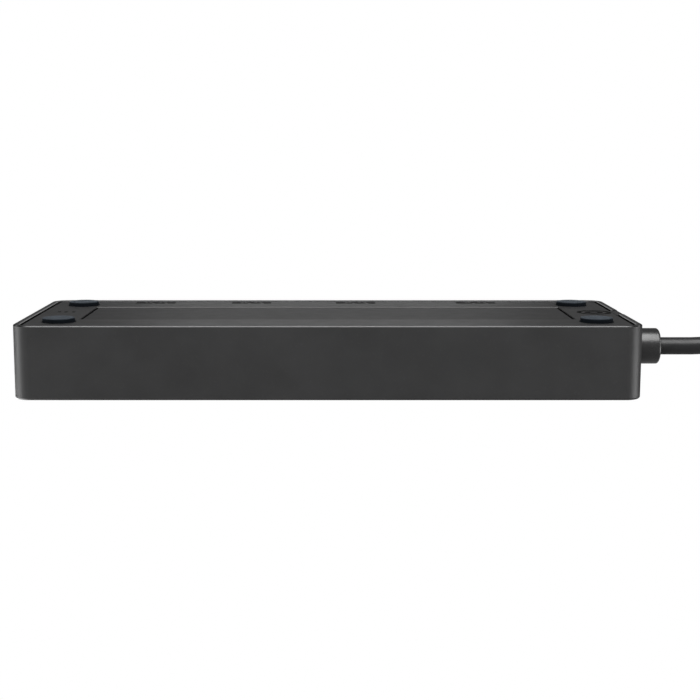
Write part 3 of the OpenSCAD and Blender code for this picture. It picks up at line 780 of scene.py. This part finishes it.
def case_plastic(name, color, rough):
    """Paler and glossier along the edges of the rim, the paler colour a painted highlight; black
    and dull in the groove inside it and round the rim's corners, a painted shade.
    """
    t = Tree(name)
    low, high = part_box("housing")
    z, inwards = t.coordinate("Z"), t.inwards_both(high)
    # The next masks pick the rim's outer edge on its straight runs, and its inner edge. There the
    # colour is four times paler, a painted highlight, with less roughness and grain.
    off_rim = t.ramp(z, low.z, low.z + 0.12 * MM, 0, 1)
    straight = t.ramp(t.inwards("X", high.x), 6 * MM, 9.5 * MM, 0, 1)
    outer = t.math("MULTIPLY", t.ramp(z, low.z + 0.4 * MM, low.z + 0.85 * MM, 1, 0), straight)
    inner = t.math("MULTIPLY", t.ramp(z, low.z + 0.25 * MM, low.z + 0.4 * MM, 1, 0),
                   t.ramp(inwards, 2.2 * MM, 2.5 * MM, 0, 0.8))
    painted_rim_highlight = t.math("MULTIPLY", off_rim, t.math("MAXIMUM", outer, inner))
    # Painted shade: the housing's wall down in the groove inside the rim is painted near black
    # and made dull.
    deep = t.math("MULTIPLY", t.ramp(inwards, 2.85 * MM, 3.0 * MM, 0, 1),
                  t.ramp(z, low.z + 0.3 * MM, low.z + 0.42 * MM, 0, 1))
    deep = t.math("MULTIPLY", deep, t.ramp(z, low.z + 4 * MM, low.z + 5 * MM, 1, 0))
    # Painted shade: the rim's outer edge round the four corners is painted near black and made
    # dull.
    painted_corner_shade = t.math("MINIMUM", t.ramp(t.inwards("X", high.x), 5 * MM, 8 * MM, 1, 0),
                    t.ramp(t.inwards("Y", high.y), 5 * MM, 8 * MM, 1, 0))
    painted_corner_shade = t.math("MULTIPLY", painted_corner_shade, t.ramp(z, low.z + 0.4 * MM, low.z + 0.6 * MM, 1, 0))
    painted_corner_shade = t.math("MULTIPLY", painted_corner_shade, t.ramp(inwards, 1.6 * MM, 2 * MM, 1, 0))
    dull = t.math("MAXIMUM", deep, painted_corner_shade)
    return moulded(t, color, rough, calm=t.ramp(painted_rim_highlight, 0, 1, 1, 0.15), dull=dull,
                   patches=[(painted_rim_highlight, scaled(color, 4), -0.16), (dull, scaled(color, 0.15), 0.3)])


def base_plastic(name, color, rough):
    """Rougher and darker in the sunk pocket; black and dull in its grooves and anything sunk
    deeper, and round its edge, a painted shade.
    """
    t = Tree(name)
    low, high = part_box("base_plate")
    z = t.coordinate("Z")
    edge = t.ramp(t.inwards_both(high), 0.05 * MM, 0.15 * MM, 1, 0)
    # Painted shade: whatever is sunk deeper than the pocket's floor, and the plate's edge in the
    # gap round it, are painted near black and made dull.
    groove = t.ramp(z, low.z + 0.52 * MM, low.z + 0.58 * MM, 0, 1)
    # the tongue over the gland sticks out of the plate's edge, and is as pale as the face
    plate = t.ramp(t.inwards("X", -low.x), -low.x - high.x - 0.2 * MM, -low.x - high.x, 0, 1)
    deep = t.math("MULTIPLY", t.math("MAXIMUM", groove, edge), plate)
    sunk = t.math("MULTIPLY", t.ramp(z, low.z + 0.2 * MM, low.z + 0.4 * MM, 0, 1), plate)
    return moulded(t, color, rough, dull=deep,
                   patches=[(sunk, scaled(color, 0.7), 0.07), (deep, scaled(color, 0.1), 0.3)])


DARK_CASE, DARK_BASE = (0.031, 0.031, 0.0315), (0.026, 0.026, 0.0263)
materials = {
    "case_plastic": case_plastic("case_plastic", DARK_CASE, 0.42),
    "base_plastic": base_plastic("base_plastic", DARK_BASE, 0.42),
    "foot_rubber": rubber("foot_rubber", (0.014, 0.0185, 0.0245)),
    "steel": metal("steel", (0.55, 0.55, 0.56), 0.32, (1, 1, 0.1)),
    "inner_plastic": plastic("inner_plastic", (0.7, 0.68, 0.63), 0.35, vary=0.05),
    "brass": metal("brass", (0.75, 0.55, 0.24), 0.3, (0.08, 1, 1)),
    "plated_blades": metal("plated_blades", (0.72, 0.7, 0.66), 0.24, (0.06, 1, 1)),
    "shutter_plastic": plastic("shutter_plastic", (0.09, 0.093, 0.1), 0.4),
    "switch_plastic": plastic("switch_plastic", (0.014, 0.014, 0.015), 0.3, depth=0.006 * MM),
    "rocker_red": plastic("rocker_red", (0.48, 0.014, 0.012), 0.2, depth=0.003 * MM, vary=0.06,
                          Coat_Weight=0.3, Coat_Roughness=0.12, Subsurface_Weight=0.12,
                          Subsurface_Scale=0.002),
    "button_plastic": plastic("button_plastic", (0.72, 0.71, 0.67), 0.3, vary=0.04),
    "wire_black": cord_jacket("wire_black", (0.018, 0.018, 0.018), 0.35),
    "wire_white": cord_jacket("wire_white", (0.68, 0.67, 0.63), 0.35),
    "wire_green": cord_jacket("wire_green", (0.018, 0.18, 0.05), 0.35),
    "cord_jacket": cord_jacket("cord_jacket", (0.018, 0.018, 0.019), 0.36),
    "moulding": cord_jacket("moulding", (0.018, 0.018, 0.0185), 0.3, Coat_Weight=0.85,
                            Coat_Roughness=0.25),
    "tie_strap": strap_weave("tie_strap", (0.035, 0.035, 0.037)),
}
# Painted shade: the marks are moulded in the plate's own plastic, but are painted near black and
# matt here.
mark_material = plastic("base_mark", (0.003, 0.003, 0.003), 0.85, Specular_IOR_Level=0.1)


def paint():
    slot_of = {part["node"]: part["material_slot"] for part in frame["record"]["subparts"]}
    for name, node in nodes.items():
        node.data.materials.clear()
        node.data.materials.append(materials[slot_of[name]])
    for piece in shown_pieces():
        if "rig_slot" in piece:
            piece.data.materials.clear()
            piece.data.materials.append(materials[piece["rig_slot"]])
    base_marks.data.materials.clear()
    base_marks.data.materials.append(mark_material)


paint()


# ---- Stage: floor that shows from above only, white surroundings and soft lights ----

def make_stage():
    half, drop, fade_from, fade_to = 6.0, 0.2 * MM, 0.35, 1.3
    mesh = bpy.data.meshes.new("floor")
    corners = [(-half, -half, 0), (half, -half, 0), (half, half, 0), (-half, half, 0)]
    mesh.from_pydata(corners, [], [(0, 1, 2, 3)])
    floor = bpy.data.objects.new("floor", mesh)
    floor.location.z = -drop
    scene.collection.objects.link(floor)
    floor.visible_shadow = False
    floor.visible_diffuse = False
    floor.visible_glossy = False
    material = bpy.data.materials.new("floor")
    material.use_nodes = True
    tree = material.node_tree
    tree.nodes.clear()
    out = tree.nodes.new("ShaderNodeOutputMaterial")
    mix = tree.nodes.new("ShaderNodeMixShader")
    clear = tree.nodes.new("ShaderNodeBsdfTransparent")
    pale = tree.nodes.new("ShaderNodeBsdfDiffuse")
    pale.inputs["Color"].default_value = (0.48, 0.48, 0.48, 1)
    glow = tree.nodes.new("ShaderNodeEmission")
    glow.inputs["Color"].default_value = (1, 1, 1, 1)
    glow.inputs["Strength"].default_value = 1.0
    place = tree.nodes.new("ShaderNodeTexCoord")
    length = tree.nodes.new("ShaderNodeVectorMath")
    length.operation = "LENGTH"
    far = tree.nodes.new("ShaderNodeMapRange")
    far.interpolation_type = "SMOOTHSTEP"
    for name, value in (("From Min", fade_from), ("From Max", fade_to), ("To Min", 0.45),
                        ("To Max", 1.0)):
        far.inputs[name].default_value = value
    fade = tree.nodes.new("ShaderNodeMixShader")
    side = tree.nodes.new("ShaderNodeNewGeometry")
    tree.links.new(place.outputs["Object"], length.inputs[0])
    tree.links.new(length.outputs["Value"], far.inputs["Value"])
    tree.links.new(far.outputs[0], fade.inputs["Fac"])
    tree.links.new(pale.outputs[0], fade.inputs[1])
    tree.links.new(glow.outputs[0], fade.inputs[2])
    tree.links.new(side.outputs["Backfacing"], mix.inputs["Fac"])
    tree.links.new(fade.outputs[0], mix.inputs[1])
    tree.links.new(clear.outputs[0], mix.inputs[2])
    tree.links.new(mix.outputs[0], out.inputs["Surface"])
    mesh.materials.append(material)


def make_world():
    """White to look at. As a light it is dimmer, and dimmest low down behind the strip."""
    world = bpy.data.worlds.new("studio")
    scene.world = world
    world.use_nodes = True
    tree = world.node_tree

    def add(kind, inputs, *sources, **values):
        node = tree.nodes.new(kind)
        for name, value in values.items():
            setattr(node, name, value)
        for name, value in inputs.items():
            node.inputs[name].default_value = value
        for socket, source in sources:
            tree.links.new(source, node.inputs[socket])
        return node.outputs

    def steps(source, low, high, out_low, out_high):
        ends = {"From Min": low, "From Max": high, "To Min": out_low, "To Max": out_high}
        return add("ShaderNodeMapRange", ends, ("Value", source),
                   interpolation_type="SMOOTHSTEP")[0]

    way = add("ShaderNodeTexCoord", {})["Generated"]
    _x, y, z = add("ShaderNodeSeparateXYZ", {}, ("Vector", way))
    behind, low = steps(y, 0.0, 0.5, 0, 1), steps(z, 0.15, 0.45, 1, 0)
    both = add("ShaderNodeMath", {}, (0, behind), (1, low), operation="MULTIPLY")[0]
    fill = add("ShaderNodeBackground", {}, ("Strength", steps(both, 0, 1, 0.3, 0.08)))[0]
    seen = tree.nodes["Background"]
    seen.inputs["Color"].default_value = (1, 1, 1, 1)
    ray = add("ShaderNodeLightPath", {})["Is Camera Ray"]
    mix = add("ShaderNodeMixShader", {}, ("Fac", ray), (1, fill), (2, seen.outputs[0]))[0]
    tree.links.new(mix, tree.nodes["World Output"].inputs["Surface"])


def area_light(name, place, target, size, power):
    data = bpy.data.lights.new(name, "AREA")
    data.shape = "RECTANGLE"
    data.size, data.size_y = size
    data.energy = power
    light = bpy.data.objects.new(name, data)
    light.location = place
    light.rotation_euler = (Vector(target) - Vector(place)).to_track_quat("-Z", "Y").to_euler()
    scene.collection.objects.link(light)


# Name, place, what it points at, size, and power in watts. The first two stand below the floor.
LIGHTS = [
    ("main", (0.0, -0.45, -1.0), (0, 0, 0.02), (1.6, 1.0), 22),
    ("back", (0.0, 0.85, -0.22), (0, 0, 0.0), (0.42, 0.15), 0.16),
    ("side_left", (1.1, -0.1, 0.0), (0.15, 0, 0.02), (0.6, 0.9), 5.1),
    ("side_right", (-1.1, -0.28, 0.0), (-0.15, 0, 0.02), (0.7, 0.9), 7),
    ("above", (0.95, -0.15, 0.95), (-0.05, 0, 0), (0.9, 0.8), 14),
    ("above_behind", (0.75, 0.8, 0.55), (-0.05, 0, 0), (0.9, 0.5), 7),
]

make_stage()
make_world()
scene.view_settings.view_transform = "Standard"
for light_values in LIGHTS:
    area_light(*light_values)
